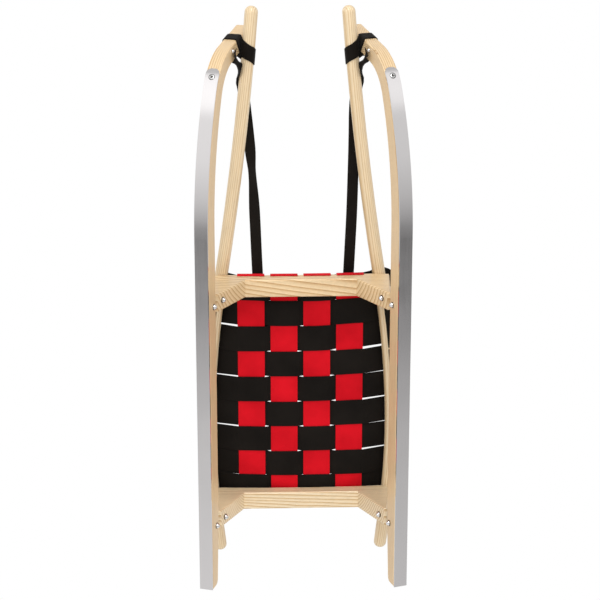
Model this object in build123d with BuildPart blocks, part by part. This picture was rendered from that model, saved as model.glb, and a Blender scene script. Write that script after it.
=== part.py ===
from build123d import *
import math
import os

os.makedirs("parts", exist_ok=True)

# Two-seat touring sled. Millimetres, +Z up, X across, the horns point to -Y.
# The origin is on the floor under the middle of the sled's length and width.

# Overall lengths, measured from the middle of the sled
tail_y = 620
rail_tip_y = -620

# Runners: each is a flat-sided ash bend, canted so that its top leans inwards
runner_gauge = 421
runner_cant = 18.5
runner_width = 30
runner_height = 43
runner_tail_height = 33
runner_tail_round = 12
runner_edge_round = 3
runner_flat_end_y = -175
runner_sweep_radius = 700
runner_sweep_angle = 25
horn_bend_radius = 130
horn_angle = 80
horn_rise = 297.5
horn_root_depth = 38
horn_waist_depth = 35
horn_tip_depth = 29
horn_tip_round = 13

# Steel bands screwed under the runners
band_width = 29
band_thickness = 3
band_end_angle = 47
band_nose_round = 12

# Bridges: one arched ash board across each end of the seat
bridge_front_y = -18
bridge_rear_y = 479
bridge_depth = 40
bridge_underside = 155
bridge_foot_z = 60
bridge_foot_width = 7
bridge_edge_round = 4
bridge_shoulder_gap = 5
front_opening_half = 119.5
front_foot_x = 185.5
front_end_x = 192.5
rear_opening_half = 126
rear_foot_x = 184.5
rear_end_x = 204

# Seat rails: round ash bars, bowed outwards beside the seat
rail_diameter = 28
rail_nose_round = 13
rail_pitch = 0.7
rail_seat_z = 204
rail_tip_x = 100.8
rail_front_x = 173.5
rail_side_x = 201
rail_side_y = 262
rail_grip_x = 191.5
rail_grip_y = 505
rail_tail_y = 614
rail_front_slope = 4.5

# Webbing of the seat
belt_thickness = 2
belt_gap = 0.3
lap_gap = 0.7
red_width = 59
red_pitch = 71.7
red_count = 4
red_lap = 12
red_fold_radius = 4
cross_width = 56.8
cross_pitch = 58.3
cross_count = 9
cross_first_y = -5.8
cross_flat = 61
cross_lap_angle = 183
cross_short_lap_angle = 98
seat_sag = 6
seat_support_z = 190

# Steel plates let into the runners, bolted to the bridge feet
plate_thickness = 3
plate_width = 30
plate_rise = 56
plate_bend_drop = 4
plate_depth = 38
plate_fit = 0.2

# Webbing ties that bind each horn to its rail
tie_thickness = 3
tie_fit = 0.4
tie_width = 38
tie_drop = 0.8
tie_rail_y = -528.5
tie_reach = 200

# Pull strap: a free loop of webbing, drawn here as a plain round tube
strap_diameter = 8
strap_route = (
    (-135.8, -528, 163),
    (-132, -489, 193),
    (-134.5, -455, 226),
    (-118, -400, 237),
    (-108.5, -320, 230),
    (-104.5, -235, 222),
    (-101, -150, 214),
    (-97.5, -70, 209),
    (-93, 5, 208),
    (-82, 70, 207),
    (-52, 115, 204),
    (-8, 128, 203),
    (36, 116, 204),
    (70, 92, 209),
    (90, 62, 217),
    (112, 30, 222),
    (138, -4, 223),
    (166, -28, 232.5),
    (193, -31, 219),
    (207, -8, 201),
    (211, 30, 199),
    (214, 75, 201),
    (210, 114, 216),
    (198, 140, 233),
    (176, 153, 233),
    (150, 152, 221),
    (128, 142, 211),
    (110, 120, 208),
    (101, 84, 208),
    (98, 40, 208),
    (100.5, -20, 209),
    (103, -90, 211),
    (106, -165, 215),
    (109.5, -245, 223),
    (114, -330, 231),
    (120, -400, 237),
    (134.5, -455, 226),
    (132, -489, 193),
    (135.8, -528, 163),
)

runner_slant = math.radians(runner_cant)
rail_radius = rail_diameter / 2
seat_reach = rail_front_x + rail_radius
rail_slant = math.radians(rail_pitch)


def runner_plane(side):
    """Plane of one runner: its x runs back along the sled, its y up the canted side."""
    lift = band_width / 2 * math.sin(runner_slant) + band_thickness * math.cos(runner_slant)
    return Plane(
        origin=(side * runner_gauge / 2, 0, lift),
        x_dir=(0, 1, 0),
        z_dir=(math.cos(runner_slant), 0, side * math.sin(runner_slant)),
    )


def sweep_point(angle, depth):
    """Point on the runner's long front sweep, depth measured up from the sole."""
    turn = math.radians(angle)
    radius = runner_sweep_radius - depth
    return (
        runner_flat_end_y - radius * math.sin(turn),
        runner_sweep_radius - radius * math.cos(turn),
    )


def horn_point(angle, depth):
    """Point on the tight bend of the horn, depth measured in from the sole."""
    turn = math.radians(angle)
    start = math.radians(runner_sweep_angle)
    centre_y = runner_flat_end_y - (runner_sweep_radius - horn_bend_radius) * math.sin(start)
    centre_h = runner_sweep_radius - (runner_sweep_radius - horn_bend_radius) * math.cos(start)
    radius = horn_bend_radius - depth
    return (centre_y - radius * math.sin(turn), centre_h - radius * math.cos(turn))


def horn_tip_point(depth):
    """Point at the top of the horn, depth measured back from its front side."""
    start_y, start_h = horn_point(horn_angle, 0)
    rise = horn_rise - start_h
    turn = math.radians(horn_angle)
    tip_y = start_y - rise / math.tan(turn)
    return (tip_y + depth * math.sin(turn), horn_rise + depth * math.cos(turn))


def seat_height(x, y):
    """Middle of the woven seat: hollow across, and level with the rails' slope along."""
    middle = seat_support_z + 1.5 * belt_thickness + 3 * belt_gap
    fall = (y - bridge_front_y) * math.tan(rail_slant)
    return middle + seat_sag * (x / seat_reach) ** 2 - fall


def bridge_top(x, y):
    """Top of a bridge, just under the lowest belt of the weave."""
    return seat_height(x, y) - 1.5 * belt_thickness - 3 * belt_gap


def rail_line(side):
    """Centre line of one rail, from its front tip to its tail, in the rails' own tilted plane."""
    start_angle = math.radians(rail_front_slope)
    with BuildLine() as plan:
        start = (side * rail_tip_x, rail_tip_y - bridge_front_y)
        heading = (side * math.sin(start_angle), math.cos(start_angle))
        nose = TangentArc(start, (side * rail_front_x, 0), tangent=heading)
        broadest = (side * rail_side_x, rail_side_y - bridge_front_y)
        flank = TangentArc(nose @ 1, broadest, tangent=nose % 1)
        grip_start = (side * rail_grip_x, rail_grip_y - bridge_front_y)
        quarter = TangentArc(flank @ 1, grip_start, tangent=flank % 1)
        grip_length = (rail_tail_y - rail_grip_y) / (quarter % 1).Y
        Line(quarter @ 1, quarter @ 1 + (quarter % 1) * grip_length)
    tilted = Plane(
        origin=(0, bridge_front_y, rail_seat_z),
        x_dir=(1, 0, 0),
        z_dir=(0, math.sin(rail_slant), math.cos(rail_slant)),
    )
    return plan.wire().moved(tilted.location)


right_rail_line = rail_line(1)


def rail_point(y):
    """Point and heading of the right rail's centre line where it passes a given y."""
    low, high = 0.0, 1.0
    for _ in range(40):
        middle = (low + high) / 2
        if right_rail_line.position_at(middle).Y < y:
            low = middle
        else:
            high = middle
    return right_rail_line.position_at(low), right_rail_line.tangent_at(low)


def shape_rail(side):
    """One round seat rail with domed ends."""
    path = rail_line(side)
    with BuildPart() as rail:
        tip = Plane(origin=path.position_at(0), x_dir=(0, 0, side), z_dir=path.tangent_at(0))
        with BuildSketch(tip):
            Circle(rail_radius)
        sweep(path=path)
        ends = faces().filter_by(GeomType.PLANE)
        fillet(ends.edges(), radius=rail_nose_round)
    return rail.part


def shape_runner(side):
    """One runner: a long sweep runs into the tight bend of the horn, and the tail thins."""
    plane = runner_plane(side)
    with BuildPart() as runner:
        with BuildSketch(plane):
            with BuildLine():
                sole = Line((tail_y, 0), (runner_flat_end_y, 0))
                sweep_arc = TangentArc(sole @ 1, sweep_point(runner_sweep_angle, 0), tangent=sole % 1)
                bend_arc = TangentArc(sweep_arc @ 1, horn_point(horn_angle, 0), tangent=sweep_arc % 1)
                Line(bend_arc @ 1, horn_tip_point(0))
                Line(horn_tip_point(0), horn_tip_point(horn_tip_depth))
                back = Line(horn_tip_point(horn_tip_depth), horn_point(horn_angle, horn_waist_depth))
                root = horn_point(runner_sweep_angle, horn_root_depth)
                inner_bend = TangentArc(back @ 1, root, tangent=back % 1)
                flat_end = (runner_flat_end_y, runner_height)
                inner_sweep = TangentArc(inner_bend @ 1, flat_end, tangent=inner_bend % 1)
                top = Line(inner_sweep @ 1, (bridge_rear_y, runner_height))
                heel = Line(top @ 1, (tail_y, runner_tail_height))
                Line(heel @ 1, (tail_y, 0))
            make_face()
            fillet(vertices().sort_by(Axis.Y)[-2:], radius=horn_tip_round)
            fillet(vertices().sort_by(Axis.X)[-2:].sort_by(Axis.Y)[-1], radius=runner_tail_round)
        extrude(amount=runner_width / 2, both=True)
        sides = faces().filter_by(Axis((0, 0, 0), plane.z_dir))
        fillet(sides.edges(), radius=runner_edge_round)
    return runner.part


def shape_band(side):
    """One steel band: it follows the sole from the tail to a rounded nose on the horn."""
    plane = runner_plane(side)
    with BuildPart() as band:
        with BuildSketch(plane):
            with BuildLine():
                sole = Line((tail_y, 0), (runner_flat_end_y, 0))
                sweep_arc = TangentArc(sole @ 1, sweep_point(runner_sweep_angle, 0), tangent=sole % 1)
                bend_arc = TangentArc(
                    sweep_arc @ 1, horn_point(band_end_angle, 0), tangent=sweep_arc % 1
                )
                end = Line(bend_arc @ 1, horn_point(band_end_angle, -band_thickness))
                start = horn_point(runner_sweep_angle, -band_thickness)
                outer_bend = TangentArc(start, end @ 1, tangent=sweep_arc % 1)
                flat_end = (runner_flat_end_y, -band_thickness)
                outer_sweep = TangentArc(flat_end, outer_bend @ 0, tangent=sole % 1)
                Line(outer_sweep @ 0, (tail_y, -band_thickness))
                Line((tail_y, -band_thickness), (tail_y, 0))
            make_face()
        extrude(amount=band_width / 2, both=True)
        nose_corners = edges().filter_by(GeomType.LINE).sort_by(Axis.Y)[:4]
        fillet(nose_corners.sort_by(SortBy.LENGTH)[:2], radius=band_nose_round)
    return band.part


def shape_bridge(y, opening_half, foot_x, end_x):
    """One bridge: hollowed top, trapezoid opening, and a saddle for each rail."""
    centre, heading = rail_point(y)
    shoulder_x = centre.X - rail_radius - bridge_shoulder_gap
    shoulder_z = bridge_top(shoulder_x, y)
    corner_z = centre.Z - rail_radius
    with BuildPart() as bridge:
        with BuildSketch(Plane.XZ.offset(-y)):
            with BuildLine():
                top = ThreePointArc((-shoulder_x, shoulder_z), (0, bridge_top(0, y)), (shoulder_x, shoulder_z))
                Polyline(
                    top @ 1,
                    (end_x, corner_z),
                    (foot_x, bridge_foot_z),
                    (foot_x - bridge_foot_width, bridge_foot_z),
                    (opening_half, bridge_underside),
                    (-opening_half, bridge_underside),
                    (bridge_foot_width - foot_x, bridge_foot_z),
                    (-foot_x, bridge_foot_z),
                    (-end_x, corner_z),
                    top @ 0,
                )
            make_face()
        extrude(amount=bridge_depth / 2, both=True)
        broad_faces = faces().filter_by(Axis.Y)
        fillet(broad_faces.edges(), radius=bridge_edge_round)
        for side in (-1, 1):
            saddle = Plane(
                origin=(side * centre.X, y, centre.Z), z_dir=(side * heading.X, heading.Y, heading.Z)
            )
            with BuildSketch(saddle):
                Circle(rail_radius + belt_gap)
            extrude(amount=bridge_depth, both=True, mode=Mode.SUBTRACT)
    return bridge.part


def lap_arc(centre, radius, start_angle, end_angle, side):
    """Arc round a rail, angles in degrees from the outer side up to the top."""
    points = []
    for angle in (start_angle, (start_angle + end_angle) / 2, end_angle):
        turn = math.radians(angle)
        points.append((side * (centre.X + radius * math.cos(turn)), centre.Z + radius * math.sin(turn)))
    return ThreePointArc(*points)


def cross_section(y, row, lap_angle):
    """Section of one cross belt at a given y: woven middle, and a lap round each rail."""
    centre = rail_point(y)[0]
    inner_radius = rail_radius + lap_gap
    outer_radius = inner_radius + belt_thickness
    lift = belt_thickness + belt_gap
    lower = []
    for column in range(red_count):
        middle = (column - (red_count - 1) / 2) * red_pitch
        above = 1 if (row + column) % 2 else -1
        for x in (middle - cross_flat / 2, middle + cross_flat / 2):
            lower.append((x, seat_height(x, y) + above * lift - belt_thickness / 2))
    upper = [(x, z + belt_thickness) for x, z in lower]
    leave = {}
    for side, (x, z) in ((-1, lower[0]), (1, lower[-1])):
        across, rise = abs(x) - centre.X, z - centre.Z
        toward = math.degrees(math.atan2(rise, across)) % 360
        leave[side] = toward - math.degrees(math.acos(inner_radius / math.hypot(across, rise)))
    end = 90 - lap_angle
    with BuildLine() as outline:
        left_inner = lap_arc(centre, inner_radius, end, leave[-1], -1)
        right_inner = lap_arc(centre, inner_radius, leave[1], end, 1)
        left_outer = lap_arc(centre, outer_radius, end, leave[-1], -1)
        right_outer = lap_arc(centre, outer_radius, leave[1], end, 1)
        Polyline(left_inner @ 1, *lower, right_inner @ 0)
        Polyline(left_outer @ 1, *upper, right_outer @ 0)
        Line(left_inner @ 0, left_outer @ 0)
        Line(right_inner @ 1, right_outer @ 1)
    return outline.edges()


def shape_cross_belt(row):
    """One cross belt: woven through the red belts, lapped over and round both rails."""
    middle_y = cross_first_y + row * cross_pitch
    over_bridge = row in (0, cross_count - 1)
    lap_angle = cross_short_lap_angle if over_bridge else cross_lap_angle
    edges_of_belt = (middle_y - cross_width / 2, middle_y + cross_width / 2)
    outlines = [cross_section(y, row, lap_angle) for y in edges_of_belt]
    with BuildPart() as belt:
        for y, outline in zip(edges_of_belt, outlines):
            with BuildSketch(Plane.XZ.offset(-y)):
                make_face(outline)
        loft(ruled=True)
    return belt.part


def shape_red_belt(column):
    """One long red belt: taut between the bridges, folded down over their outer faces."""
    x = (column - (red_count - 1) / 2) * red_pitch
    tilt = math.atan(2 * seat_sag * x / seat_reach**2)
    chord_lift = seat_sag * (cross_flat / 2 / seat_reach) ** 2
    plane = Plane(
        origin=(x, bridge_front_y, seat_height(x, bridge_front_y) + chord_lift),
        x_dir=(0, math.cos(rail_slant), -math.sin(rail_slant)),
        z_dir=(math.cos(tilt), 0, math.sin(tilt)),
    )
    front = -bridge_depth / 2 - belt_gap
    rear = bridge_rear_y - bridge_front_y + bridge_depth / 2 + 2 * belt_gap
    low = -belt_thickness / 2
    high = belt_thickness / 2
    inner = red_fold_radius
    outer = red_fold_radius + belt_thickness
    with BuildPart() as belt:
        with BuildSketch(plane):
            with BuildLine():
                under = Line((front + inner, low), (rear - inner, low))
                over = Line((front + inner, high), (rear - inner, high))
                front_inner = TangentArc(under @ 0, (front, low - inner), tangent=(-1, 0))
                front_outer = TangentArc(over @ 0, (front - belt_thickness, high - outer), tangent=(-1, 0))
                rear_inner = TangentArc(under @ 1, (rear, low - inner), tangent=(1, 0))
                rear_outer = TangentArc(over @ 1, (rear + belt_thickness, high - outer), tangent=(1, 0))
                for inside, outside in ((front_inner, front_outer), (rear_inner, rear_outer)):
                    hem = low - inner - red_lap
                    Polyline(
                        inside @ 1,
                        ((inside @ 1).X, hem),
                        ((outside @ 1).X, hem),
                        outside @ 1,
                    )
            make_face()
        extrude(amount=red_width / 2, both=True)
    return belt.part


def shape_plate(side, y, foot_x, end_x, fit):
    """One bent steel plate: up the outside of a bridge foot, down into a slot in the runner."""
    corner_z = rail_point(y)[0].Z - rail_radius
    rise = Vector(end_x - foot_x, corner_z - bridge_foot_z).normalized()
    outward = Vector(rise.Y, -rise.X)
    foot = Vector(foot_x, bridge_foot_z)
    top = foot + rise * plate_rise
    bend = foot - rise * plate_bend_drop
    down = Vector(math.sin(runner_slant), -math.cos(runner_slant))
    slot_outward = Vector(math.cos(runner_slant), math.sin(runner_slant))
    bottom = bend + down * (plate_depth + fit)
    mitre = (outward + slot_outward) / (1 + outward.dot(slot_outward))
    near, far = -fit, plate_thickness + fit
    outline = [
        top + outward * near,
        bend + mitre * near,
        bottom + slot_outward * near,
        bottom + slot_outward * far,
        bend + mitre * far,
        top + outward * far,
    ]
    with BuildPart() as plate:
        with BuildSketch(Plane.XZ.offset(-y)):
            with BuildLine():
                Polyline(*[(side * point.X, point.Y) for point in outline], close=True)
            make_face()
        extrude(amount=plate_width / 2 + fit, both=True)
    return plate.part


def shape_tie(side):
    """One webbing tie: a band round the horn that runs on round the seat rail beside it."""
    plane = runner_plane(side)
    turn = math.radians(horn_angle)
    front_y = horn_tip_point(0)[0]
    centre, heading = rail_point(tie_rail_y)
    tie_horn_h = (centre.Z - tie_drop - plane.origin.Z) / math.cos(runner_slant)
    back = (horn_rise - tie_horn_h) / math.tan(turn)
    middle_depth = horn_waist_depth / 2
    horn_centre = plane.from_local_coords(
        Vector(front_y + back + middle_depth * math.sin(turn), tie_horn_h + middle_depth * math.cos(turn), 0)
    )
    ahead = plane.from_local_coords(
        Vector(
            front_y + back + middle_depth * math.sin(turn) - math.cos(turn),
            tie_horn_h + middle_depth * math.cos(turn) + math.sin(turn),
            0,
        )
    )
    horn_plane = Plane(origin=horn_centre, x_dir=plane.z_dir, z_dir=ahead - horn_centre)
    rail_plane = Plane(
        origin=(side * centre.X, centre.Y, centre.Z), z_dir=(side * heading.X, heading.Y, heading.Z)
    )
    wrap = tie_thickness + tie_fit
    with BuildPart() as tie:
        with BuildSketch(horn_plane):
            Rectangle(runner_width + 2 * wrap, horn_waist_depth + 2 * wrap)
            fillet(vertices(), radius=runner_edge_round + tie_thickness)
        extrude(amount=tie_width / 2, both=True)
        with BuildSketch(rail_plane):
            Circle(rail_radius + wrap)
        extrude(amount=tie_width / 2, both=True)
        with BuildSketch(horn_plane):
            Rectangle(runner_width + 2 * tie_fit, horn_waist_depth + 2 * tie_fit)
            fillet(vertices(), radius=runner_edge_round)
        extrude(amount=tie_reach, both=True, mode=Mode.SUBTRACT)
        with BuildSketch(rail_plane):
            Circle(rail_radius + tie_fit)
        extrude(amount=tie_reach, both=True, mode=Mode.SUBTRACT)
    return tie.part


def shape_strap():
    """The pull strap as a plain tube: from one horn, over the seat, to the other horn."""
    path_points = [Vector(*point) for point in strap_route]
    turns = [
        (path_points[i] - path_points[i - 1]).get_angle(path_points[i + 1] - path_points[i])
        for i in range(1, len(path_points) - 1)
    ]
    runs = [(path_points[i + 1] - path_points[i]).length for i in range(len(path_points) - 1)]
    radii = [
        0.45 * min(runs[i], runs[i + 1]) / math.tan(math.radians(turns[i] / 2)) for i in range(len(turns))
    ]
    print("strap runs", [round(run) for run in runs])
    print("strap turns", [round(turn) for turn in turns])
    print("strap radii", [round(radius) for radius in radii])
    with BuildPart() as strap:
        with BuildLine() as path:
            FilletPolyline(*path_points, radius=radii)
        with BuildSketch(Plane(origin=path.wire().position_at(0), z_dir=path.wire().tangent_at(0))):
            Circle(strap_diameter / 2)
        sweep(path=path.wire())
    length = path.wire().length
    print("strap length", round(length), "section times length", round(math.pi * strap_diameter**2 / 4 * length))
    return strap.part


def write_piece(piece, label):
    """Label one finished piece and write its file."""
    piece.label = label
    box = piece.bounding_box()
    print(label, round(piece.volume), piece.is_valid, len(piece.solids()), box.min, box.max)
    export_step(piece, "parts/" + label + ".step")


# Bridges, named from the front: place, half of the opening, foot and top end of each leg
bridges = (
    ("front", bridge_front_y, front_opening_half, front_foot_x, front_end_x),
    ("rear", bridge_rear_y, rear_opening_half, rear_foot_x, rear_end_x),
)
sides = (("left", -1), ("right", 1))

for side_name, side in sides:
    runner_part = shape_runner(side)
    for bridge_name, y, _, foot_x, end_x in bridges:
        runner_part = runner_part - shape_plate(side, y, foot_x, end_x, plate_fit)
        plate_part = shape_plate(side, y, foot_x, end_x, 0)
        write_piece(plate_part, f"plate_{bridge_name}_{side_name}")
    write_piece(runner_part, "runner_" + side_name)
    write_piece(shape_band(side), "band_" + side_name)
    write_piece(shape_rail(side), "seat_rail_" + side_name)
    write_piece(shape_tie(side), "horn_tie_" + side_name)

for bridge_name, y, opening_half, foot_x, end_x in bridges:
    write_piece(shape_bridge(y, opening_half, foot_x, end_x), "bridge_" + bridge_name)

for row in range(cross_count):
    write_piece(shape_cross_belt(row), f"cross_belt_{row + 1}")

for column in range(red_count):
    write_piece(shape_red_belt(column), f"red_belt_{column + 1}")

write_piece(shape_strap(), "pull_strap")
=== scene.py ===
import math

import bmesh
import bpy
from mathutils import Matrix, Vector


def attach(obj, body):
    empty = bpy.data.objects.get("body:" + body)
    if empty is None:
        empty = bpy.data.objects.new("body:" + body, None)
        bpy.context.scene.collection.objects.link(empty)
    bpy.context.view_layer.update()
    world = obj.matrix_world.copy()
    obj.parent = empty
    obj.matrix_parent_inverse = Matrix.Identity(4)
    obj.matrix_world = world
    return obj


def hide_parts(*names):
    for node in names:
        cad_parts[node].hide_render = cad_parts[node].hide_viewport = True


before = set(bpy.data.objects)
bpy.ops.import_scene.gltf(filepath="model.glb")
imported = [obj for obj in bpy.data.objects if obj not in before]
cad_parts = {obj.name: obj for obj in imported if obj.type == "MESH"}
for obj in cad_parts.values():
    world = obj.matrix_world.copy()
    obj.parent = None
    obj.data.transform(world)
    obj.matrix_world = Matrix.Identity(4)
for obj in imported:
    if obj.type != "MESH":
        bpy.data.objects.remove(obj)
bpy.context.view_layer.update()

# The photograph looks squarely at the sled's underside from a long way off, with the horns
# up the page. The camera keeps that angle and distance, so it stands below the floor.
camera = bpy.data.objects.new("camera", bpy.data.cameras.new("camera"))
camera.data.sensor_width = 36
camera.data.lens = 126
camera.data.clip_end = 60
camera.matrix_world = Matrix(
    (
        (0.99933, 0.01169, -0.03473, -0.15930),
        (0.0, -0.94777, -0.31896, -1.43410),
        (-0.03664, 0.31875, -0.94713, -4.12910),
        (0, 0, 0, 1),
    )
)
bpy.context.collection.objects.link(camera)
bpy.context.scene.camera = camera
bpy.context.scene.view_settings.view_transform = "Standard"


# Runners: ash, sawn square and bent over steam, so the grain follows the sweep and the horn.
# They are planed, sanded and given a clear satin varnish.
band_half_width = 0.0145
band_thickness = 0.003
runner_cant = math.radians(18.5)
runner_middle_x = 0.2105
runner_lift = band_half_width * math.sin(runner_cant) + band_thickness * math.cos(runner_cant)
runner_flat_end_y = -0.175
sweep_radius = 0.700
sweep_turn = math.radians(25)
bend_radius = 0.130
bend_turn = math.radians(80)
bend_centre_y = runner_flat_end_y - (sweep_radius - bend_radius) * math.sin(sweep_turn)
bend_centre_h = sweep_radius - (sweep_radius - bend_radius) * math.cos(sweep_turn)
grain_draw = 0.06


def runner_axes(side):
    """A canted runner's two directions: out to its side, and up from its sole."""
    out = Vector((side * math.cos(runner_cant), 0, math.sin(runner_cant)))
    up = Vector((-side * math.sin(runner_cant), 0, math.cos(runner_cant)))
    return out, up


def linear(code):
    """Linear colour of an sRGB hex value."""
    parts = [int(code[i : i + 2], 16) / 255 for i in (1, 3, 5)]
    return [p / 12.92 if p <= 0.04045 else ((p + 0.055) / 1.055) ** 2.4 for p in parts] + [1]


def add_node(tree, kind, inputs=None, **settings):
    """Adds one node: settings are its own fields, inputs are values or sockets to link."""
    node = tree.nodes.new(kind)
    for field, value in settings.items():
        setattr(node, field, value)
    for socket, value in (inputs or {}).items():
        if isinstance(value, bpy.types.NodeSocket):
            tree.links.new(value, node.inputs[socket])
        else:
            node.inputs[socket].default_value = value
    return node


def new_material(name):
    """An empty node material and its tree."""
    material = bpy.data.materials.new(name)
    material.use_nodes = True
    material.node_tree.nodes.clear()
    return material, material.node_tree


def ash(name, lay_grain, light, dark, ring=0.0034, wave=3.0, bold=0.0):
    """Ash under clear satin varnish: each year leaves a line of open pores, then pale wood.
    lay_grain gives the place in the board, with z along the grain and already drawn out."""
    material, tree = new_material(name)
    place = lay_grain(tree)
    rings = add_node(
        tree,
        "ShaderNodeTexWave",
        {
            "Vector": place,
            "Scale": 2 * math.pi / (20 * ring),
            "Distortion": wave,
            "Detail": 2.0,
            "Detail Scale": 0.3,
            "Detail Roughness": 0.5,
        },
        wave_type="RINGS",
        rings_direction="Z",
        wave_profile="SAW",
    )
    years = add_node(tree, "ShaderNodeValToRGB", {"Fac": rings.outputs["Fac"]})
    ramp = years.color_ramp
    early_wood, late_wood = linear(dark), linear(light)
    ramp.elements[0].position = 0.0
    ramp.elements[0].color = early_wood
    ramp.elements[1].position = 1.0
    ramp.elements[1].color = late_wood
    for spot, share in (
        (0.16 + 0.14 * bold, 0.35 - 0.1 * bold),
        (0.42 + 0.2 * bold, 0.8),
        (0.93, 0.97),
    ):
        stop = ramp.elements.new(spot)
        stop.color = [a + (b - a) * share for a, b in zip(early_wood, late_wood)]
    fibre = add_node(
        tree,
        "ShaderNodeTexNoise",
        {"Vector": place, "Scale": 380.0, "Detail": 3.0, "Roughness": 0.6},
    )
    fibre_span = {"Value": fibre.outputs[0], "From Min": 0.3, "From Max": 0.7}
    fibre_tone = add_node(
        tree, "ShaderNodeMapRange", {**fibre_span, "To Min": 0.90, "To Max": 1.06}
    )
    plank = add_node(tree, "ShaderNodeTexNoise", {"Vector": place, "Scale": 17.0, "Detail": 2.0})
    plank_span = {"Value": plank.outputs[0], "From Min": 0.3, "From Max": 0.7}
    plank_tone = add_node(
        tree, "ShaderNodeMapRange", {**plank_span, "To Min": 0.94, "To Max": 1.05}
    )
    pore = add_node(tree, "ShaderNodeTexNoise", {"Vector": place, "Scale": 1150.0, "Detail": 1.0})
    early = add_node(
        tree,
        "ShaderNodeMapRange",
        {"Value": rings.outputs["Fac"], "From Min": 0.3, "From Max": 0.0},
    )
    open_pore = add_node(
        tree, "ShaderNodeMapRange", {"Value": pore.outputs[0], "From Min": 0.56, "From Max": 0.66}
    )
    pores = add_node(
        tree, "ShaderNodeMath", {0: open_pore.outputs[0], 1: early.outputs[0]}, operation="MULTIPLY"
    )
    tones = add_node(
        tree,
        "ShaderNodeMath",
        {0: fibre_tone.outputs[0], 1: plank_tone.outputs[0]},
        operation="MULTIPLY",
    )
    darker = add_node(
        tree,
        "ShaderNodeMath",
        {0: pores.outputs[0], 1: -0.22, 2: tones.outputs[0]},
        operation="MULTIPLY_ADD",
    )
    colour = add_node(
        tree,
        "ShaderNodeVectorMath",
        {0: years.outputs["Color"], "Scale": darker.outputs[0]},
        operation="SCALE",
    )
    relief = add_node(
        tree,
        "ShaderNodeMath",
        {0: pores.outputs[0], 1: -1.0, 2: fibre.outputs[0]},
        operation="MULTIPLY_ADD",
    )
    bump = add_node(
        tree,
        "ShaderNodeBump",
        {"Strength": 0.18, "Distance": 0.0003, "Height": relief.outputs[0]},
    )
    gloss = add_node(tree, "ShaderNodeMapRange", {**fibre_span, "To Min": 0.36, "To Max": 0.48})
    wood = add_node(
        tree,
        "ShaderNodeBsdfPrincipled",
        {
            "Base Color": colour.outputs[0],
            "Roughness": gloss.outputs[0],
            "IOR": 1.5,
            "Coat Weight": 0.25,
            "Coat Roughness": 0.22,
            "Normal": bump.outputs["Normal"],
        },
    )
    add_node(tree, "ShaderNodeOutputMaterial", {"Surface": wood.outputs["BSDF"]})
    return material


def bent_grain(side):
    """Gives the place in a runner's board: across it, up from the sole, and along its bends."""

    def lay(tree):
        out, up = runner_axes(side)
        spot = add_node(tree, "ShaderNodeTexCoord")
        local = add_node(
            tree,
            "ShaderNodeVectorMath",
            {0: spot.outputs["Object"], 1: (side * runner_middle_x, 0, runner_lift)},
            operation="SUBTRACT",
        )
        width, rise, along = [
            add_node(
                tree,
                "ShaderNodeVectorMath",
                {0: local.outputs[0], 1: axis},
                operation="DOT_PRODUCT",
            ).outputs["Value"]
            for axis in (out, up, (0, 1, 0))
        ]
        flat = add_node(tree, "ShaderNodeMath", {0: -1.0, 1: along}, operation="MULTIPLY")
        depth, travel = rise, flat.outputs[0]
        passed = 0.0 - runner_flat_end_y
        for centre_y, centre_h, radius, start, end in (
            (runner_flat_end_y, sweep_radius, sweep_radius, 0.0, sweep_turn),
            (bend_centre_y, bend_centre_h, bend_radius, sweep_turn, bend_turn),
        ):
            back = add_node(tree, "ShaderNodeMath", {0: centre_y, 1: along}, operation="SUBTRACT")
            over = add_node(tree, "ShaderNodeMath", {0: centre_h, 1: rise}, operation="SUBTRACT")
            turn = add_node(
                tree,
                "ShaderNodeMath",
                {0: back.outputs[0], 1: over.outputs[0]},
                operation="ARCTAN2",
            )
            pair = add_node(
                tree, "ShaderNodeCombineXYZ", {"X": back.outputs[0], "Y": over.outputs[0]}
            )
            reach = add_node(
                tree, "ShaderNodeVectorMath", {0: pair.outputs[0]}, operation="LENGTH"
            )
            bent_depth = add_node(
                tree, "ShaderNodeMath", {0: radius, 1: reach.outputs["Value"]}, operation="SUBTRACT"
            )
            bent_travel = add_node(
                tree,
                "ShaderNodeMath",
                {0: turn.outputs[0], 1: radius, 2: passed - start * radius},
                operation="MULTIPLY_ADD",
            )
            reached = add_node(
                tree, "ShaderNodeMath", {0: turn.outputs[0], 1: start}, operation="GREATER_THAN"
            )
            depth, travel = [
                add_node(
                    tree,
                    "ShaderNodeMix",
                    {"Factor": reached.outputs[0], "A": before, "B": bent.outputs[0]},
                ).outputs["Result"]
                for before, bent in ((depth, bent_depth), (travel, bent_travel))
            ]
            passed += (end - start) * radius
        drawn = add_node(
            tree, "ShaderNodeMath", {0: travel, 1: grain_draw}, operation="MULTIPLY"
        )
        board = add_node(
            tree, "ShaderNodeCombineXYZ", {"X": width, "Y": depth, "Z": drawn.outputs[0]}
        )
        heart = add_node(
            tree,
            "ShaderNodeMapping",
            {
                "Vector": board.outputs[0],
                "Location": (side * 0.062, 0.066, 0.3 * side),
                "Rotation": (math.radians(4), math.radians(3 * side), 0),
            },
        )
        return heart.outputs["Vector"]

    return lay


def show_with(node, material):
    """Gives a CAD node its material."""
    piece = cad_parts[node]
    piece.data.materials.clear()
    piece.data.materials.append(material)


for side_name, side in (("left", -1), ("right", 1)):
    runner_ash = ash(f"steam_bent_ash_{side_name}", bent_grain(side), "#ecd2a8", "#bf925c")
    show_with("runner_" + side_name, runner_ash)


# Runner bands: bright cold-rolled steel strip, bent to the sole and held by a countersunk
# screw near its nose. Rolling leaves fine lines along it, and snow keeps it polished.
screw_turn = math.radians(38.3)
screw_proud = 0.0001


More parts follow.
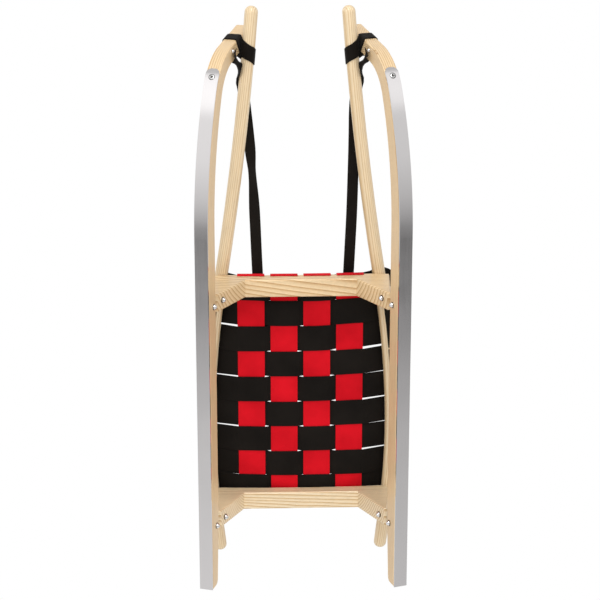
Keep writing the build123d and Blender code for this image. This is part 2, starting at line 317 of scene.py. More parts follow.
def rolled_steel(name, tint, rough_low, rough_high, draw):
    """Bright steel with fine lines left by rolling: soft, drawn-out reflections."""
    material, tree = new_material(name)
    spot = add_node(tree, "ShaderNodeTexCoord")
    pull = add_node(tree, "ShaderNodeMapping", {"Vector": spot.outputs["Object"], "Scale": draw})
    line = add_node(
        tree, "ShaderNodeTexNoise", {"Vector": pull.outputs[0], "Scale": 1.0, "Detail": 3.0}
    )
    film = add_node(
        tree,
        "ShaderNodeTexNoise",
        {"Vector": spot.outputs["Object"], "Scale": 9.0, "Detail": 2.0},
    )
    mixed = add_node(
        tree,
        "ShaderNodeMath",
        {0: line.outputs[0], 1: 0.5, 2: film.outputs[0]},
        operation="MULTIPLY_ADD",
    )
    rough = add_node(
        tree,
        "ShaderNodeMapRange",
        {
            "Value": mixed.outputs[0],
            "From Min": 0.5,
            "From Max": 1.0,
            "To Min": rough_low,
            "To Max": rough_high,
        },
    )
    bump = add_node(
        tree,
        "ShaderNodeBump",
        {"Strength": 0.12, "Distance": 0.0002, "Height": line.outputs[0]},
    )
    steel = add_node(
        tree,
        "ShaderNodeBsdfPrincipled",
        {
            "Base Color": linear(tint),
            "Metallic": 1.0,
            "Roughness": rough.outputs[0],
            "Normal": bump.outputs["Normal"],
        },
    )
    add_node(tree, "ShaderNodeOutputMaterial", {"Surface": steel.outputs["BSDF"]})
    return material


band_steel = rolled_steel("cold_rolled_steel", "#dedbdc", 0.10, 0.18, (700, 9, 700))
for side_name in ("left", "right"):
    show_with("band_" + side_name, band_steel)

zinc_plate = rolled_steel("zinc_plated_steel", "#cfd0d0", 0.24, 0.42, (300, 300, 300))
# A dark steel that paints shade: it darkens the screws' driver recesses and makes the dark rings
# round the nuts and screws.
painted_shade_steel = rolled_steel("painted_shade_steel", "#4a4643", 0.45, 0.6, (200, 200, 200))


def lathe(profile, steps=32):
    """A turned mesh from a profile of (radius, height) points."""
    form = bmesh.new()
    verts = [form.verts.new((radius, 0, height)) for radius, height in profile]
    edges = [form.edges.new(pair) for pair in zip(verts, verts[1:])]
    bmesh.ops.spin(
        form,
        geom=verts + edges,
        cent=(0, 0, 0),
        axis=(0, 0, 1),
        angle=math.tau,
        steps=steps,
        use_merge=True,
    )
    bmesh.ops.remove_doubles(form, verts=form.verts, dist=0.000001)
    bmesh.ops.recalc_face_normals(form, faces=form.faces)
    return form


def stand(name, data):
    """A new object at the origin of the scene, with its mesh, curve or lamp."""
    piece = bpy.data.objects.new(name, data)
    bpy.context.collection.objects.link(piece)
    return piece


def scatter(name, form, spots, materials):
    """Copies one small form to each spot, with its axis along the spot's direction."""
    pattern = bpy.data.meshes.new(name + "_pattern")
    form.to_mesh(pattern)
    form.free()
    batch = bmesh.new()
    for centre, axis, twist in spots:
        before = len(batch.verts)
        batch.from_mesh(pattern)
        batch.verts.ensure_lookup_table()
        turn = Vector(axis).to_track_quat("Z", "Y").to_matrix().to_4x4()
        move = Matrix.Translation(centre) @ turn @ Matrix.Rotation(twist, 4, "Z")
        bmesh.ops.transform(batch, matrix=move, verts=batch.verts[before:])
    mesh = bpy.data.meshes.new(name)
    batch.to_mesh(mesh)
    batch.free()
    bpy.data.meshes.remove(pattern)
    for material in materials:
        mesh.materials.append(material)
    piece = stand(name, mesh)
    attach(piece, "root")
    return piece


def smooth_all(form):
    """Shades every face of a form smooth."""
    for face in form.faces:
        face.smooth = True
    return form


def on_sole(side, angle, depth):
    """Place and outward direction on the tight bend, at an angle and a depth from the sole."""
    y = bend_centre_y - (bend_radius - depth) * math.sin(angle)
    h = bend_centre_h - (bend_radius - depth) * math.cos(angle)
    _, up = runner_axes(side)
    centre = Vector((side * runner_middle_x, y, runner_lift)) + up * h
    return centre, -up * math.cos(angle) + Vector((0, -math.sin(angle), 0))


def cross_recess(form, floor, width, length, depth):
    """Cuts a cross-shaped driver recess into the flat top of a turned head, and gives the recess's
    faces the second material, a dark steel that paints the shade in it.
    """
    for turn in (0, math.pi / 2):
        axis = Vector((math.cos(turn), math.sin(turn), 0))
        for face in [f for f in form.faces if f.normal.z > 0.7]:
            middle = face.calc_center_median()
            away = abs(middle.dot(axis))
            aside = (middle - axis * middle.dot(axis)).to_2d().length
            if away < length and aside < width:
                # The recess's faces take the dark second material: painted shade in the recess.
                face.material_index = 1
                for vert in face.verts:
                    deep = depth * (1 - vert.co.to_2d().length / length)
                    vert.co.z = min(vert.co.z, floor - deep)
    return form


screw_head = lathe(
    [
        (0.0, 0.0012),
        (0.0012, 0.0012),
        (0.0024, 0.0011),
        (0.0036, 0.0008),
        (0.0052, 0.0002),
        (0.0059, -0.0004),
        (0.0059, -0.0012),
    ],
    steps=24,
)
screw_head = smooth_all(cross_recess(screw_head, 0.0008, 0.0012, 0.0034, 0.0012))
screw_depth = -band_thickness - screw_proud
band_screws = [(*on_sole(side, screw_turn, screw_depth), 0.4) for side in (-1, 1)]
# The screws' second material paints the shade in their driver recesses.
scatter("band_screws", screw_head, band_screws, [zinc_plate, painted_shade_steel])


# Seat rails: ash rods turned round and domed at both ends, then bent over steam to a long bow
# beside the seat, so their grain follows the bow.
rail_half_length = 0.62
# The arcs of a rail's middle line, from its nose back: where each ends, its centre's distance
# from the sled's middle line, its centre's place along the sled, and its radius
rail_arcs = (
    (-0.018, 7.3612, -1.1913, -7.2828),
    (0.262, -1.99986, 0.33678, 2.20213),
    (0.505, -1.46401, 0.31857, 1.66598),
)
rail_tail_y = 0.505
rail_tail_x = 0.1915
rail_tail_slope = 0.1126
bow_reach = 0.25
bow_steps = 12


def rail_x(y):
    """Distance of a rail's middle line from the sled's: a nearly straight nose, two bows, and
    a straight tail."""
    for end, centre_x, centre_y, radius in rail_arcs:
        if y < end:
            return centre_x + math.copysign(math.sqrt(radius**2 - (y - centre_y) ** 2), radius)
    return rail_tail_x - (y - rail_tail_y) * rail_tail_slope


def bowed_grain(side, location):
    """Gives the place in a rail's rod: the bow is taken out of it before the grain is laid.
    The curve that holds the bow runs from 0 to 1, so it is drawn in shares of bow_reach."""

    def lay(tree):
        spot = add_node(tree, "ShaderNodeTexCoord")
        place = add_node(tree, "ShaderNodeSeparateXYZ", {"Vector": spot.outputs["Object"]})
        ends = {"From Min": -rail_half_length, "From Max": rail_half_length}
        share = add_node(tree, "ShaderNodeMapRange", {"Value": place.outputs["Y"], **ends})
        bow = add_node(tree, "ShaderNodeFloatCurve", {"Value": share.outputs[0]})
        line = bow.mapping.curves[0]
        for k in range(bow_steps + 1):
            y = -rail_half_length + 2 * rail_half_length * k / bow_steps
            spot_on_curve = (k / bow_steps, rail_x(y) / bow_reach)
            if k in (0, bow_steps):
                line.points[0 if k == 0 else -1].location = spot_on_curve
            else:
                line.points.new(*spot_on_curve)
        bow.mapping.update()
        aside = add_node(
            tree,
            "ShaderNodeMath",
            {0: bow.outputs[0], 1: -bow_reach * side, 2: place.outputs["X"]},
            operation="MULTIPLY_ADD",
        )
        drawn = add_node(
            tree, "ShaderNodeMath", {0: place.outputs["Y"], 1: grain_draw}, operation="MULTIPLY"
        )
        rod = add_node(
            tree,
            "ShaderNodeCombineXYZ",
            {"X": aside.outputs[0], "Y": place.outputs["Z"], "Z": drawn.outputs[0]},
        )
        heart = add_node(
            tree,
            "ShaderNodeMapping",
            {"Vector": rod.outputs[0], "Location": location, "Rotation": (0.05, 0.16, 0)},
        )
        return heart.outputs["Vector"]

    return lay


for side_name, side in (("left", -1), ("right", 1)):
    heart = bowed_grain(side, (0.058 * side, -0.175 + 0.006 * side, 0.2 * side))
    rail_ash = ash(f"turned_ash_{side_name}", heart, "#ead6b4", "#cba875", 0.0042, 2.2)
    show_with("seat_rail_" + side_name, rail_ash)


# Bridges: ash boards bandsawn to an arch, rounded over and varnished. The front one is sawn
# across the year rings, so they slant over its underside. The rear one has fine, wavy rings.
def cross_grain(location, rotation, slant, drawn):
    """Gives the place in a board that lies across the sled. Its grain is turned by a slant;
    the less it is drawn out, the more its lines wave."""

    def lay(tree):
        spot = add_node(tree, "ShaderNodeTexCoord")
        sawn = add_node(
            tree,
            "ShaderNodeMapping",
            {"Vector": spot.outputs["Object"], "Rotation": (0, 0, -slant)},
        )
        board = add_node(
            tree,
            "ShaderNodeMapping",
            {
                "Vector": sawn.outputs[0],
                "Scale": (drawn, 1, 1),
                "Rotation": (0, -math.pi / 2, 0),
            },
        )
        heart = add_node(
            tree,
            "ShaderNodeMapping",
            {"Vector": board.outputs[0], "Location": location, "Rotation": rotation},
        )
        return heart.outputs["Vector"]

    return lay


front_heart = cross_grain((0.225, 0.085, 0.1), (0.06, 0.05, 0), math.radians(9), 0.30)
front_ash = ash("bandsawn_ash_front", front_heart, "#ead0a6", "#bd9059", 0.0085, 5.0, 0.1)
show_with("bridge_front", front_ash)
rear_heart = cross_grain((0.235, -0.40, 0.5), (0.05, -0.06, 0), math.radians(1), 0.22)
rear_ash = ash("bandsawn_ash_rear", rear_heart, "#f1debc", "#c49b62", 0.0056, 9.0, 0.3)
show_with("bridge_rear", rear_ash)


# Plates and bolts: zinc-plated steel. Each plate is bent once, bolted through the bridge's
# leg with a domed nut inside, and bolted through the runner with another.
leg_top_z = 0.155
leg_foot_z = 0.060
leg_inner_foot = 0.007
leg_nut_z = 0.0765
upper_bolt_z = 0.104
outer_lean = 0.08
plate_thickness = 0.003
runner_half_width = 0.015
runner_bolt_h = 0.029
# Bridge, y, half the opening, half the width at the feet, splay of an outer side, its height
bridge_places = (
    ("front", -0.020, 0.1195, 0.1855, 0.007, 0.130),
    ("rear", 0.480, 0.126, 0.1845, 0.0195, 0.124),
)
cap_nuts, round_heads = [], []
for bridge_name, y, opening_half, foot_x, splay, leg_height in bridge_places:
    for side_name, side in (("left", -1), ("right", 1)):
        show_with(f"plate_{bridge_name}_{side_name}", zinc_plate)
        slope_x = foot_x - leg_inner_foot - opening_half
        slope = Vector((side * slope_x, 0, leg_foot_z - leg_top_z))
        share = (leg_top_z - leg_nut_z) / (leg_top_z - leg_foot_z)
        spot = Vector((side * (opening_half + slope_x * share), y, leg_nut_z))
        inward = Vector((slope.z * side, 0, -slope.x * side)).normalized()
        cap_nuts.append((spot, inward, 0.3 * side))
        out, up = runner_axes(side)
        middle = Vector((side * runner_middle_x, y, runner_lift)) + up * runner_bolt_h
        cap_nuts.append((middle - out * runner_half_width, -out, 0.7 * side))
        round_heads.append((middle + out * runner_half_width, out, 0.0))
        for z in (leg_nut_z, upper_bolt_z):
            outer_x = foot_x + (z - leg_foot_z) * splay / leg_height + plate_thickness
            facing = Vector((side, 0, -outer_lean))
            round_heads.append((Vector((side * outer_x, y, z)), facing, 0.0))

cap_nut = lathe(
    [
        (0.0, 0.0074),
        (0.0013, 0.0072),
        (0.0026, 0.0065),
        (0.0036, 0.0053),
        (0.0040, 0.0040),
        (0.0049, 0.0038),
        (0.0053, 0.0033),
        (0.0053, 0.0006),
    ],
    steps=36,
)
bright_zinc = rolled_steel("bright_zinc", "#e6e6e8", 0.10, 0.22, (200, 200, 200))
scatter("cap_nuts", smooth_all(cap_nut), cap_nuts, [bright_zinc])

# Thin dark rings shaped as washers under each cap nut and band screw: they paint the shade round
# the heads' edges.
shade_ring = lathe([(0.0, 0.0010), (0.0062, 0.0010), (0.0066, 0.0007), (0.0066, -0.0003)], steps=28)
shade_ring_sink = 0.0008
shade_ring_spots = [(spot, axis, 0.0) for spot, axis, twist in cap_nuts]
shade_ring_spots += [(spot - axis * shade_ring_sink, axis, 0.0) for spot, axis, twist in band_screws]
scatter("painted_shade_rings", shade_ring, shade_ring_spots, [painted_shade_steel])

round_head = lathe(
    [
        (0.0, 0.0034),
        (0.0020, 0.0033),
        (0.0040, 0.0027),
        (0.0056, 0.0016),
        (0.0064, 0.0003),
        (0.0064, -0.0004),
    ],
    steps=28,
)
scatter("round_bolt_heads", smooth_all(round_head), round_heads, [zinc_plate])


# Cross belts: nine lengths of black webbing. Each is woven over and under the long red belts,
# passes over both rails and down their outer sides, and is fixed under them.
webbing_thickness = 0.0017
belt_width = 0.0573
belt_pitch = 0.0583
first_belt_y = -0.0058
red_pitch = 0.0717
flat_half = 0.0305
weave_lift = 0.0021
front_bar_y = -0.018
rail_fall = math.tan(math.radians(0.7))
seat_middle_z = 0.1939
seat_hollow = 0.006
seat_reach = 0.1875
rail_seat_z = 0.204
lap_radius = 0.0154
belt_steps = 76
# Where a belt's lap ends, in degrees round the rail: beside it, or under it
short_lap = -8
full_lap = -93


def woven_polyester(name, thread, shade, rib, sheen):
    """Polyester webbing. Shuttle weaving leaves ribs across it and lines of warp along it.
    Real ribs are about 1 mm apart: they are drawn wider so that they show in the render."""
    material, tree = new_material(name)
    place = add_node(tree, "ShaderNodeUVMap", uv_map="webbing")
    split = add_node(tree, "ShaderNodeSeparateXYZ", {"Vector": place.outputs["UV"]})
    warp = add_node(
        tree,
        "ShaderNodeMath",
        {0: split.outputs["X"], 1: 2 * math.pi / (1.3 * rib)},
        operation="MULTIPLY",
    )
    warp_wave = add_node(tree, "ShaderNodeMath", {0: warp.outputs[0]}, operation="SINE")
    weft = add_node(
        tree, "ShaderNodeMath", {0: split.outputs["Y"], 1: 2 * math.pi / rib}, operation="MULTIPLY"
    )
    weft_wave = add_node(tree, "ShaderNodeMath", {0: weft.outputs[0]}, operation="SINE")
    crossing = add_node(
        tree,
        "ShaderNodeMath",
        {0: warp_wave.outputs[0], 1: weft_wave.outputs[0]},
        operation="MULTIPLY",
    )
    ribs = add_node(
        tree,
        "ShaderNodeMath",
        {0: weft_wave.outputs[0], 1: 0.6, 2: crossing.outputs[0]},
        operation="MULTIPLY_ADD",
    )
    height = add_node(
        tree, "ShaderNodeMapRange", {"Value": ribs.outputs[0], "From Min": -1.6, "From Max": 1.6}
    )
    spot = add_node(tree, "ShaderNodeTexCoord")
    cloud = add_node(
        tree,
        "ShaderNodeTexNoise",
        {"Vector": spot.outputs["Object"], "Scale": 14.0, "Detail": 3.0},
    )
    fuzz = add_node(
        tree,
        "ShaderNodeTexNoise",
        {"Vector": spot.outputs["Object"], "Scale": 900.0, "Detail": 2.0},
    )
    # The colour darkens in the ribs' hollows, which paints their shade, and is mottled at random by
    # a cloud noise.
    tone = add_node(
        tree,
        "ShaderNodeMath",
        {0: height.outputs[0], 1: 0.45, 2: cloud.outputs[0]},
        operation="MULTIPLY_ADD",
    )
    rib_shade_and_mottle = add_node(
        tree, "ShaderNodeMapRange", {"Value": tone.outputs[0], "From Min": 0.45, "From Max": 1.0}
    )
    colour = add_node(
        tree,
        "ShaderNodeMix",
        {"Factor": rib_shade_and_mottle.outputs[0], "A": linear(shade), "B": linear(thread)},
        data_type="RGBA",
    )
    relief = add_node(
        tree,
        "ShaderNodeMath",
        {0: fuzz.outputs[0], 1: 0.35, 2: height.outputs[0]},
        operation="MULTIPLY_ADD",
    )
    bump = add_node(
        tree,
        "ShaderNodeBump",
        {"Strength": 0.5, "Distance": 0.0004, "Height": relief.outputs[0]},
    )
    cloth = add_node(
        tree,
        "ShaderNodeBsdfPrincipled",
        {
            "Base Color": colour.outputs["Result"],
            "Roughness": 0.72,
            "Specular IOR Level": 0.08,
            "Sheen Weight": sheen,
            "Sheen Roughness": 0.45,
            "Normal": bump.outputs["Normal"],
        },
    )
    add_node(tree, "ShaderNodeOutputMaterial", {"Surface": cloth.outputs["BSDF"]})
    return material


black_webbing = woven_polyester("black_polyester_webbing", "#1b1714", "#0f0c0a", 0.0026, 0.03)


def ease(share):
    """A smooth step from 0 to 1."""
    share = min(max(share, 0.0), 1.0)
    return share * share * (3 - 2 * share)


def distances(points):
    """How far each point lies along a line of points."""
    gone = [0.0]
    for a, b in zip(points, points[1:]):
        gone.append(gone[-1] + (b - a).length)
    return gone


def lay_webbing(name, rows, material, thickness=webbing_thickness):
    """One length of webbing. rows are the lines of points across it, from end to end."""
    count, last = len(rows[0]) - 1, len(rows) - 1
    cloth = bmesh.new()
    layer = cloth.loops.layers.uv.new("webbing")
    bmesh.ops.create_grid(cloth, x_segments=count, y_segments=last, size=0.5)
    travelled = distances([row[count // 2] for row in rows])
    spread = (rows[0][-1] - rows[0][0]).length
    where = {}
    for vert in cloth.verts:
        i = round((vert.co.x + 0.5) * count)
        j = round((vert.co.y + 0.5) * last)
        where[vert] = (i / count * spread, travelled[j])
        vert.co = rows[j][i]
    for face in cloth.faces:
        for loop in face.loops:
            loop[layer].uv = where[loop.vert]
        face.smooth = True
    bmesh.ops.remove_doubles(cloth, verts=cloth.verts, dist=0.00001)
    mesh = bpy.data.meshes.new(name)
    cloth.to_mesh(mesh)
    cloth.free()
    mesh.materials.append(material)
    piece = stand(name, mesh)
    wall = piece.modifiers.new("thickness", "SOLIDIFY")
    wall.thickness = thickness
    wall.offset = 0
    edge = piece.modifiers.new("selvedge", "BEVEL")
    edge.width = thickness * 0.3
    edge.segments = 2
    edge.limit_method = "ANGLE"
    edge.angle_limit = math.radians(50)
    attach(piece, "root")
    return piece


def seat_z(x, y):
    """Height of the woven seat: hollow across, falling gently to the back."""
    return seat_middle_z + seat_hollow * (x / seat_reach) ** 2 - (y - front_bar_y) * rail_fall


def rail_height(y):
    """Height of a rail's middle line, which falls as the seat does."""
    return rail_seat_z - (y - front_bar_y) * rail_fall


def belt_line(y, row, lap_end):
    """Points along one cross belt at a given y, from one lap to the other."""
    rail, height = rail_x(y), rail_height(y)
    inner = []
    edge_x = 1.5 * red_pitch + flat_half
    for k in range(belt_steps + 1):
        x = edge_x * (2 * k / belt_steps - 1)
        column = (x + 2 * red_pitch) / red_pitch
        here = min(int(column), 3)
        above = 1 if (row + here) % 2 else -1
        share = column - here - 0.5
        lift = above
        if abs(share) * red_pitch > flat_half and 0 < column < 4:
            step = (abs(share) * red_pitch - flat_half) / (red_pitch - 2 * flat_half)
            neighbour = here + (1 if share > 0 else -1)
            if 0 <= neighbour <= 3:
                lift = above * (1 - 2 * ease(step))
        inner.append(Vector((x, y, seat_z(x, y) + lift * weave_lift)))
    ends = {}
    for side, start in ((-1, inner[0]), (1, inner[-1])):
        across, rise = abs(start.x) - rail, start.z - height
        toward = math.degrees(math.atan2(rise, across)) % 360
        leave = toward - math.degrees(math.acos(lap_radius / math.hypot(across, rise)))
        lap = []
        for k in range(17):
            turn = math.radians(leave + (lap_end - leave) * k / 16)
            x = rail + lap_radius * math.cos(turn)
            lap.append(Vector((side * x, y, height + lap_radius * math.sin(turn))))
        run = [start.lerp(lap[0], k / 4) for k in range(1, 4)]
        ends[side] = run + lap
    return ends[-1][::-1] + inner + ends[1]


# How far each belt has crept along the seat, in mm: at the left, in the middle, at the right
belt_creep = (
    (-2.2, 1.1, -4.0),
    (-3.4, -0.9, -5.5),
    (-1.2, -1.2, -7.5),
    (-2.1, -0.9, -4.4),
    (-1.3, -0.5, -3.6),
    (-2.1, -0.2, -2.2),
    (-1.3, 0.1, -1.5),
    (-2.0, 0.2, -0.4),
    (-4.0, -1.5, -1.8),
)
# Where the creep starts to change on the way out from the middle, and over what stretch
creep_begins = 0.03
creep_takes = 0.11
for row, (left_creep, middle_creep, right_creep) in enumerate(belt_creep):
    middle_y = first_belt_y + row * belt_pitch
    lap_end = short_lap if row in (0, 8) else full_lap
    lines = [belt_line(middle_y + belt_width * (k / 8 - 0.5), row, lap_end) for k in range(9)]
    for points in lines:
        for point in points:
            creep = left_creep if point.x < 0 else right_creep
            share = ease((abs(point.x) - creep_begins) / creep_takes)
            point.y += 0.001 * (middle_creep + (creep - middle_creep) * share)
    rows = [list(points) for points in zip(*lines)]
    belt = lay_webbing(f"cross_webbing_{row + 1}", rows, black_webbing)
    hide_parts(f"cross_belt_{row + 1}")


# Long belts: four lengths of red webbing from bridge to bridge, pulled tight and folded down
# over the bars' outer faces, where a short hem is fixed.
red_webbing = woven_polyester("red_polyester_webbing", "#dc1423", "#b80a18", 0.0026, 0.02)
red_width = 0.059
red_fold = 0.0048
red_hem = 0.012
red_gap = 0.0008
bar_front = -0.0385
bar_rear = 0.4995
red_chord_lift = seat_hollow * (flat_half / seat_reach) ** 2

# How far in from its outer face and how far down a red belt lies: its hem, then its fold
fold_line = [(0.0, -red_fold - red_hem * (1 - k / 6)) for k in range(7)]
for k in range(1, 8):
    turn = math.pi / 2 * k / 8
    fold_line.append((red_fold * (1 - math.cos(turn)), red_fold * (math.sin(turn) - 1)))
outer_front, outer_rear = bar_front - red_gap, bar_rear + red_gap
first_y, last_y = outer_front + red_fold, outer_rear - red_fold
red_profile = [(outer_front + inward, drop) for inward, drop in fold_line]
red_profile += [(first_y + (last_y - first_y) * k / 60, 0.0) for k in range(61)]
red_profile += [(outer_rear - inward, drop) for inward, drop in reversed(fold_line)]
for column in range(4):
    x = (column - 1.5) * red_pitch
    tilt = math.atan(2 * seat_hollow * x / seat_reach**2)
    across = Vector((math.cos(tilt), 0, math.sin(tilt)))
    rows = []
    for y, drop in red_profile:
        middle = Vector((x, y, seat_z(x, y) + red_chord_lift + drop))
        rows.append([middle + across * red_width * (k / 6 - 0.5) for k in range(7)])
    belt = lay_webbing(f"red_webbing_{column + 1}", rows, red_webbing)
    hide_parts(f"red_belt_{column + 1}")


# Horn ties: black webbing, wrapped tightly round each horn and its rail. It lies flat across
# the horn's front, runs slantwise under the rail, and comes back over the rail behind the horn.
tie_width = 0.027
tie_thickness = 0.0024
tie_rest = 0.0016
tie_h = 0.2155
tie_return_sag = 0.006
horn_half_depth = 0.0164
horn_edge = 0.003
rail_radius = 0.014
# How the webbing winds round the rail: degrees from the rail's inner side, and the places
# along the sled of the webbing's front edge and rear edge
rail_wind = (
    (-180, -0.5540, -0.5190),
    (-150, -0.5505, -0.5145),
    (-118, -0.5465, -0.5115),
    (-90, -0.5410, -0.5080),
    (-45, -0.5350, -0.5010),
    (0, -0.5275, -0.4940),
    (45, -0.5250, -0.4955),
    (90, -0.5265, -0.4990),
    (135, -0.5300, -0.5030),
)
# How it turns the horn's corners: across the horn, along the sled, the degrees at which a turn
# starts and how far it goes, how far both edges sag, and how far the lower edge sags besides
horn_corners = (
    (1, 1, 90, 90, 0.012, 0.0),
    (1, -1, 0, 90, 0.0, 0.0),
    (-1, -1, -90, 55, 0.0, 0.007),
)


def tie_path(side):
    """Pairs of points on a tie's two edges, once round the horn and the rail."""
    out, up = runner_axes(side)
    climb = up * math.sin(bend_turn) - Vector((0, math.cos(bend_turn), 0))
    deep = up * math.cos(bend_turn) + Vector((0, math.sin(bend_turn), 0))
    foot, _ = on_sole(side, bend_turn, 0)
    foot_h = (foot - Vector((side * runner_middle_x, 0, runner_lift))).dot(up)
    horn = foot + climb * (tie_h - foot_h) / math.sin(bend_turn) + deep * horn_half_depth
    bend = horn_edge + tie_rest
    a, b = runner_half_width - horn_edge, horn_half_depth - horn_edge
    reach = tie_width / 2
    path = []
    for across, back, start, turned, sag, low_sag in horn_corners:
        for k in range(4):
            turn = math.radians(start - turned * k / 3)
            spot = horn + out * (across * a + bend * math.cos(turn))
            spot += deep * (back * b + bend * math.sin(turn))
            low = reach + sag + low_sag * k / 3
            path.append((spot + climb * (reach - sag), spot - climb * low))
    girth = rail_radius + tie_rest
    for degrees, front_y, rear_y in rail_wind:
        turn = math.radians(degrees)
        pair = []
        for y in (front_y, rear_y):
            x = rail_x(y) - girth * math.cos(turn)
            pair.append(Vector((side * x, y, rail_height(y) + girth * math.sin(turn))))
        path.append(tuple(pair))
    # The last corner, half way round it and at its end, by the sine of the turn
    for sine in (0.7071, 1.0):
        cosine = math.sqrt(1 - sine**2)
        spot = horn - out * (a + bend * cosine) + deep * (b + bend * sine)
        high, low = reach - tie_return_sag, reach + tie_return_sag
        path.append((spot + climb * high, spot - climb * low))
    return path


def fill_run(path, step):
    """Adds pairs of points between far ones."""
    filled = []
    for (a, b), (c, d) in zip(path, path[1:]):
        count = max(1, round(max((c - a).length, (d - b).length) / step))
        filled += [(a.lerp(c, k / count), b.lerp(d, k / count)) for k in range(count)]
    return filled


def relax(run, rounds):
    """Rounds the creases of a closed run of pairs."""
    for _ in range(rounds):
        following = run[1:] + run[:1]
        run = [
            tuple(before[j] * 0.25 + here[j] * 0.5 + after[j] * 0.25 for j in (0, 1))
            for before, here, after in zip(run[-1:] + run[:-1], run, following)
        ]
    return run


for side_name, side in (("left", -1), ("right", 1)):
    path = tie_path(side)
    ring = relax(fill_run(path + [path[0]], 0.003), 2)
    rows = [[low.lerp(high, j / 6) for j in range(7)] for high, low in ring]
    rows.append([point.copy() for point in rows[0]])
    tie = lay_webbing("horn_tie_webbing_" + side_name, rows, black_webbing, tie_thickness)
    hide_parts("horn_tie_" + side_name)


# Pull strap: one length of flat black polyester webbing, screwed to the inner side of each
# horn. It climbs over the seat rails and lies loose on the seat, with a bight over one rail.
strap_width = 0.0235
strap_route = (
    (-0.1362, -0.532, 0.163),
    (-0.1325, -0.503, 0.186),
    (-0.1294, -0.486, 0.2018),
    (-0.1312, -0.470, 0.2177),
    (-0.1218, -0.450, 0.2285),
    (-0.1155, -0.400, 0.237),
    (-0.107, -0.320, 0.230),
    (-0.1005, -0.235, 0.222),
    (-0.0968, -0.150, 0.214),
    (-0.094, -0.070, 0.209),
    (-0.0905, 0.005, 0.208),
    (-0.082, 0.070, 0.207),
    (-0.052, 0.115, 0.204),
    (-0.008, 0.128, 0.203),
    (0.036, 0.116, 0.204),
    (0.070, 0.092, 0.209),
    (0.090, 0.062, 0.217),
    (0.112, 0.030, 0.222),
    (0.138, -0.004, 0.223),
    (0.166, -0.028, 0.2325),
    (0.193, -0.031, 0.219),
    (0.207, -0.008, 0.201),
    (0.211, 0.030, 0.199),
    (0.214, 0.075, 0.201),
    (0.210, 0.114, 0.216),
    (0.199, 0.143, 0.233),
    (0.177, 0.163, 0.233),
    (0.150, 0.165, 0.221),
    (0.128, 0.152, 0.211),
    (0.110, 0.120, 0.208),
    (0.101, 0.084, 0.208),
    (0.1005, 0.040, 0.208),
    (0.1045, -0.020, 0.209),
    (0.1078, -0.090, 0.211),
    (0.1115, -0.165, 0.215),
    (0.114, -0.245, 0.223),
    (0.1162, -0.330, 0.231),
    (0.1165, -0.400, 0.237),
    (0.1218, -0.450, 0.2285),
    (0.1312, -0.470, 0.2177),
    (0.1294, -0.486, 0.2018),
    (0.1325, -0.503, 0.186),
    (0.1362, -0.532, 0.163),
)
# Distance from the strap's nearer end, and how far its upper face has turned up, in degrees.
# The left run has a slight twist of its own, half way to the seat.
right_tilts = (
    (0.0, 18),
    (0.016, -25),
    (0.034, -72),
    (0.057, -25),
    (0.080, 25),
    (0.103, 70),
    (0.135, 90),
)
left_tilts = (*right_tilts, (0.23, 90), (0.30, 42), (0.42, 90))


def read_line(name, points):
    """Points along the smooth NURBS curve that a route's corners control."""
    curve = bpy.data.curves.new(name, "CURVE")
    curve.dimensions = "3D"
    curve.resolution_u = 8
    spline = curve.splines.new("NURBS")
    spline.points.add(len(points) - 1)
    for control, point in zip(spline.points, points):
        control.co = (*point, 1)
    spline.order_u = 3
    spline.use_endpoint_u = True
    holder = stand(name, curve)
    bpy.context.view_layer.update()
    line = bpy.data.meshes.new_from_object(holder)
    found = [vert.co.copy() for vert in line.vertices]
    bpy.data.objects.remove(holder)
    bpy.data.curves.remove(curve)
    bpy.data.meshes.remove(line)
    return found


def find_tilt(tilts, from_end):
    """The webbing's turn at a distance from the strap's end, in radians."""
    for (before, low), (after, high) in zip(tilts, tilts[1:]):
        if before <= from_end < after:
            return math.radians(low + (high - low) * ease((from_end - before) / (after - before)))
    return math.radians(tilts[-1][1])


strap_line = read_line("strap_line", strap_route)
gone = distances(strap_line)
strap_length = gone[-1]
strap_rows = []
for i, point in enumerate(strap_line):
    ahead = strap_line[min(i + 1, len(strap_line) - 1)] - strap_line[max(i - 1, 0)]
    ahead.normalize()
    from_left, from_right = gone[i], strap_length - gone[i]
    tilts = left_tilts if from_left < strap_length / 2 else right_tilts
    tilt = find_tilt(tilts, min(from_left, from_right))
    outward = -1 if point.x < 0 else 1
    top = Vector((outward * math.cos(tilt), 0, math.sin(tilt)))
    top = (top - ahead * top.dot(ahead)).normalized()
    across = ahead.cross(top)
    strap_rows.append([point + across * strap_width * (k / 4 - 0.5) for k in range(5)])
strap = lay_webbing("pull_strap_webbing", strap_rows, black_webbing)
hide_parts("pull_strap")

strap_screw = lathe(
    [(0.0, 0.0022), (0.0018, 0.0020), (0.0032, 0.0010), (0.0036, 0.0), (0.0036, -0.0006)],
    steps=20,
)
strap_screw_place = Vector((0.1405, -0.5345, 0.1615))
strap_screw_dip = 0.6
strap_screws = []
for side in (-1, 1):
    out, _ = runner_axes(side)
    facing = (-out - Vector((0, 0, strap_screw_dip))).normalized()
    strap_screws.append((strap_screw_place * Vector((side, 1, 1)), facing, 0.0))
scatter("strap_screws", smooth_all(strap_screw), strap_screws, [bright_zinc])


